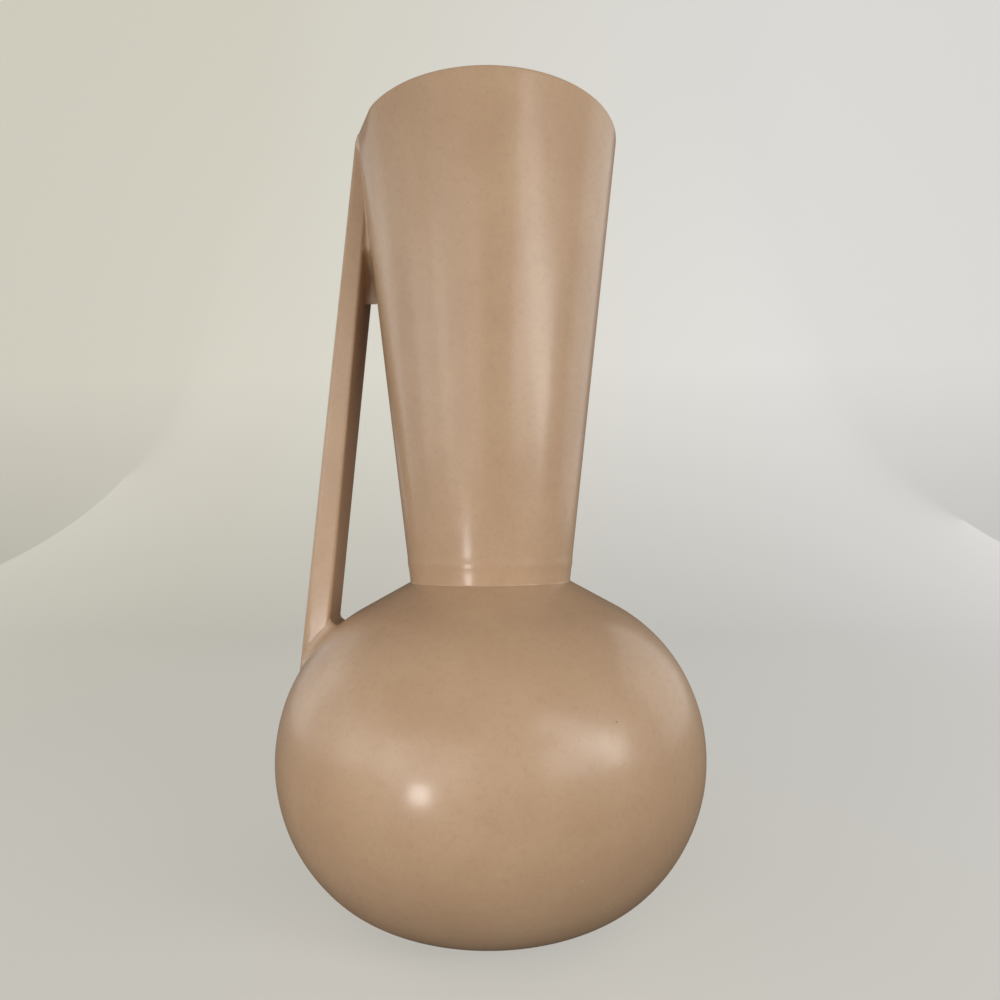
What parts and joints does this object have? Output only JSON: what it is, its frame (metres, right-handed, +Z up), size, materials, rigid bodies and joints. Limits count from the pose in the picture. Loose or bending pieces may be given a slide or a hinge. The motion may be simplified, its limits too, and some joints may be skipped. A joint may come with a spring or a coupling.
{
  "type": "one-handled bottle vase",
  "caption": "Tall one-handled ceramic vase after the lekythos oil bottle: squat round body, straight flaring neck, strap handle from rim to shoulder.",
  "frame": {"origin": "centre of the foot ring's bottom face, on the vase's turning axis", "axes": "+Z up along the turning axis to the mouth; -X towards the handle; the vase is mirror-symmetric about the XZ plane"},
  "size_m": [0.165, 0.165, 0.2986],
  "materials": {
    "body_glaze": "satin matte dusty pink-tan glaze with fine speckle",
    "neck_glaze": "satin matte dusty pink-tan glaze with fine speckle",
    "handle_glaze": "satin matte dusty pink-tan glaze with fine speckle",
    "glazed_slip": "clay slip under the same satin glaze"
  },
  "bodies": {
    "root": {"body": "body_glaze", "neck": "neck_glaze", "handle": "handle_glaze", "neck_slip_joint": "glazed_slip", "handle_top_luting": "glazed_slip", "handle_foot_luting": "glazed_slip"}
  },
  "joints": []
}
